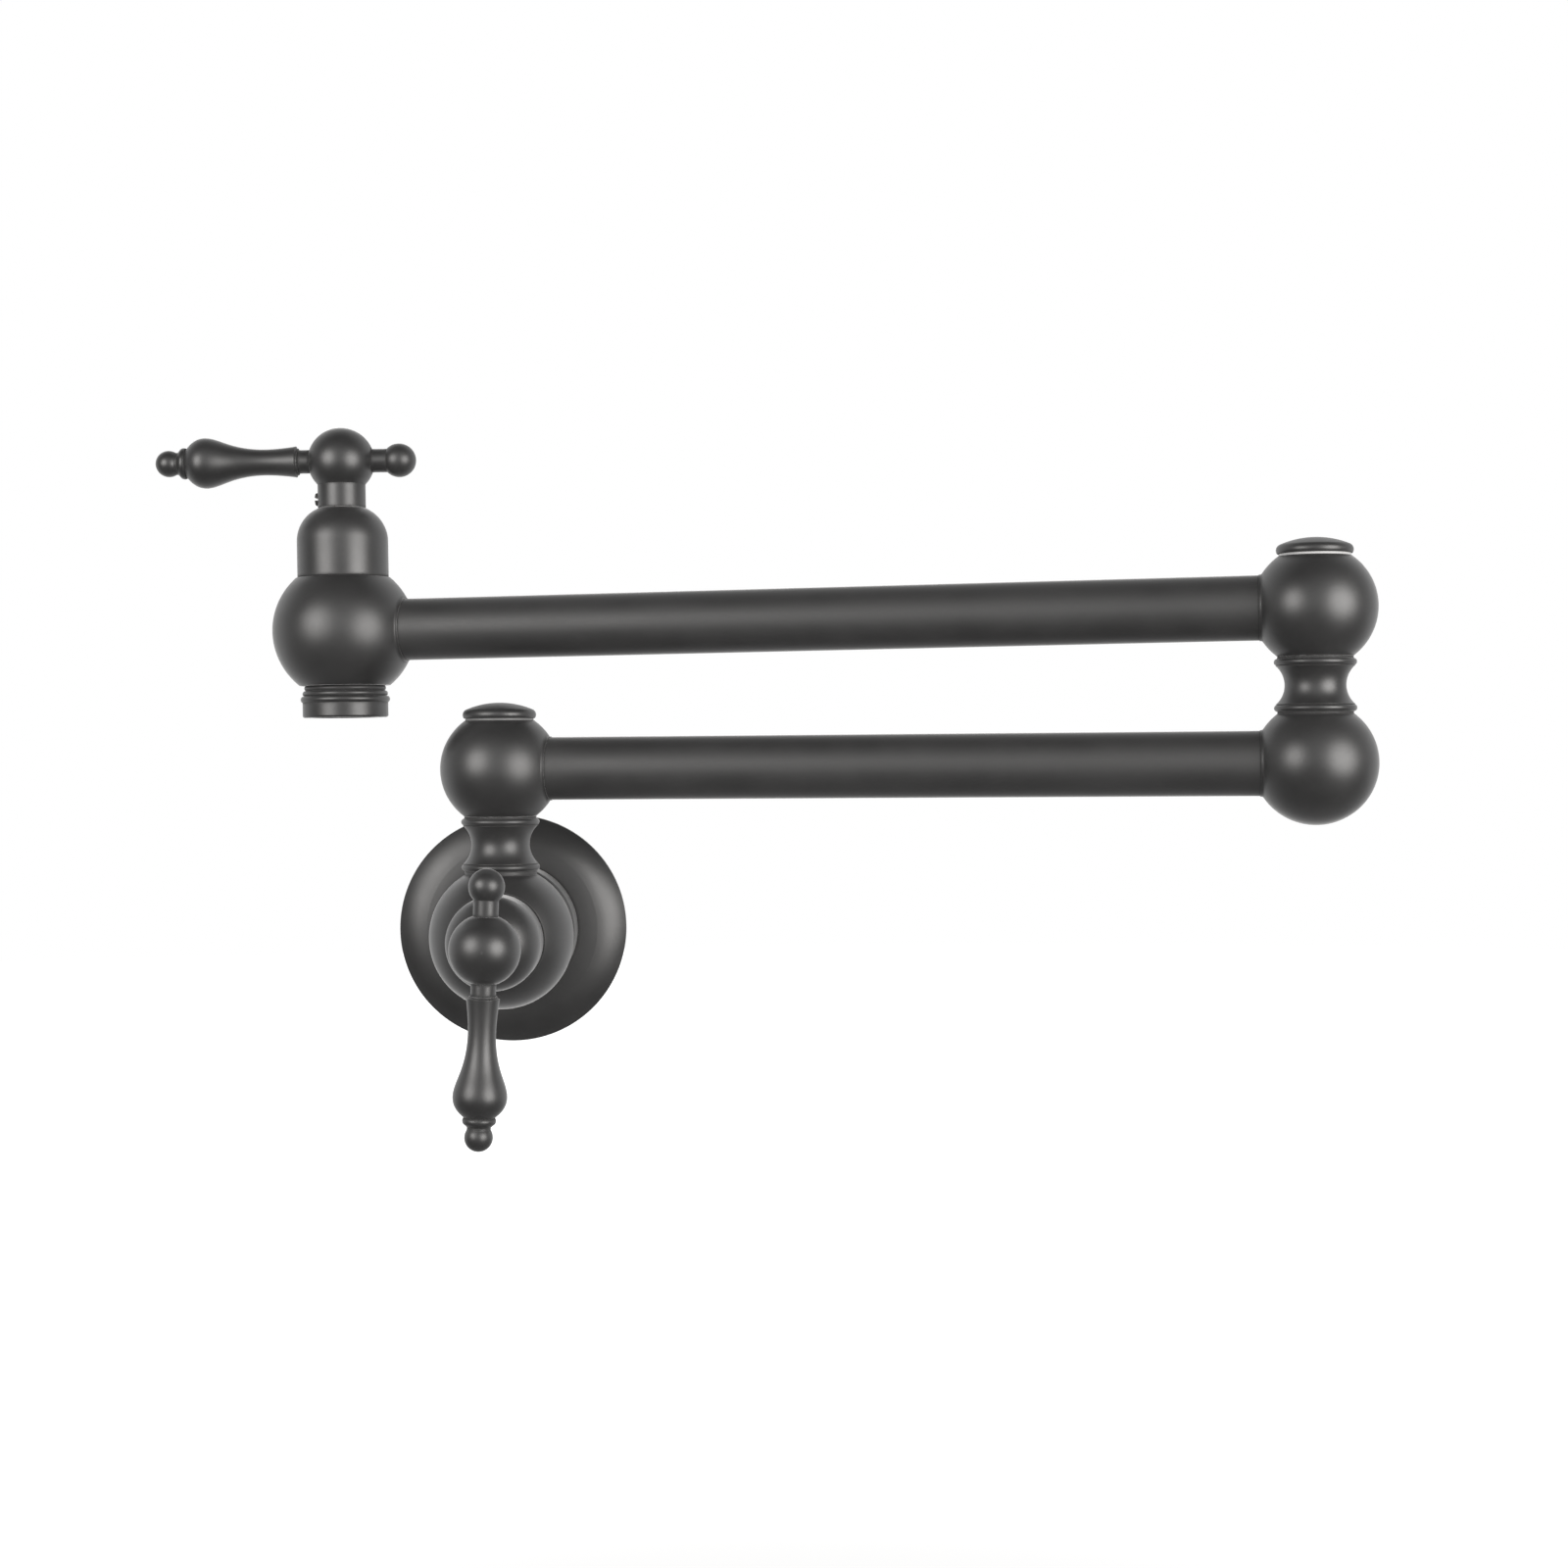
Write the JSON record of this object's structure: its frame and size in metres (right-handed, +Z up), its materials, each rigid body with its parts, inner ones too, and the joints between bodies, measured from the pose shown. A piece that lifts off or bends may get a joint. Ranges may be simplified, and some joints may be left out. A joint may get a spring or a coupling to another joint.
{
  "type": "wall-mounted folding kitchen faucet",
  "caption": "Wall-mounted kitchen faucet with folding swing arms on swivel balls, a lever valve at the wall and at the outlet, and a domed round flange, in a dark satin finish.",
  "frame": {"origin": "middle of the wall face, on the inlet's axis", "axes": "+X right along the wall, +Y into the wall, +Z up"},
  "size_m": [0.3853, 0.1118, 0.2261],
  "materials": {
    "dark_finish": "satin",
    "dark_screw": "satin",
    "bare_brass": "satin",
    "bare_steel": "satin",
    "rubber": "matte",
    "ceramic": "satin",
    "white_plastic": "matte"
  },
  "bodies": {
    "wall_valve": {"wall_flange": "dark_finish", "flange_gasket": "rubber", "flange_sleeve": "dark_finish", "inlet_shank": "bare_brass", "inlet_washer": "rubber", "wall_valve_body": "dark_finish", "riser_spool": "dark_finish", "shoulder_post": "bare_brass", "shoulder_orings": "rubber", "shoulder_thrust_washer": "white_plastic", "shoulder_nut_washer": "bare_steel", "shoulder_nut": "bare_steel", "wall_bonnet": "dark_finish", "wall_headwork": "bare_brass", "wall_seat_seal": "rubber", "wall_fixed_disc": "ceramic"},
    "lower_arm": {"shoulder_ball": "dark_finish", "shoulder_cap_washer": "white_plastic", "shoulder_cap": "dark_finish", "lower_arm_tube": "dark_finish", "elbow_lower_ball": "dark_finish", "elbow_spool": "dark_finish", "elbow_post": "bare_brass", "elbow_orings": "rubber", "elbow_thrust_washer": "white_plastic", "elbow_nut_washer": "bare_steel", "elbow_nut": "bare_steel"},
    "upper_arm": {"elbow_upper_ball": "dark_finish", "elbow_cap_washer": "white_plastic", "elbow_cap": "dark_finish", "upper_arm_tube": "dark_finish", "outlet_valve_body": "dark_finish", "outlet_collar": "dark_finish", "aerator_housing": "dark_finish", "aerator_insert": "white_plastic", "aerator_screen": "bare_steel", "aerator_washer": "rubber", "outlet_bonnet": "dark_finish", "outlet_headwork": "bare_brass", "outlet_seat_seal": "rubber", "outlet_fixed_disc": "ceramic"},
    "wall_lever": {"wall_moving_disc": "ceramic", "wall_stem": "bare_brass", "wall_stem_clip": "bare_steel", "wall_stem_oring": "rubber", "wall_handle_hub": "dark_finish", "wall_lever_arm": "dark_finish", "wall_hub_knob": "dark_finish", "wall_grub_screw": "dark_screw"},
    "outlet_lever": {"outlet_moving_disc": "ceramic", "outlet_stem": "bare_brass", "outlet_stem_clip": "bare_steel", "outlet_stem_oring": "rubber", "outlet_handle_hub": "dark_finish", "outlet_lever_arm": "dark_finish", "outlet_hub_knob": "dark_finish", "outlet_grub_screw": "dark_screw"}
  },
  "joints": [
    {"name": "shoulder_swivel", "type": "hinge", "parent": "wall_valve", "child": "lower_arm", "pos_m": [0, -0.0455, 0.05391], "axis": [0, 0, 1], "range_deg": [-174, 13]},
    {"name": "elbow_swivel", "type": "hinge", "parent": "lower_arm", "child": "upper_arm", "pos_m": [0.25298, -0.08783, 0.10171], "axis": [0, 0, 1], "continuous": true},
    {"name": "wall_lever_turn", "type": "hinge", "parent": "wall_valve", "child": "wall_lever", "pos_m": [0, -0.0455, 0], "axis": [0, -1, 0], "range_deg": [0, 90]},
    {"name": "outlet_lever_turn", "type": "hinge", "parent": "upper_arm", "child": "outlet_lever", "pos_m": [-0.05226, -0.02573, 0.09926], "axis": [-0.0077, 0.0016, 1], "range_deg": [0, 90]}
  ]
}
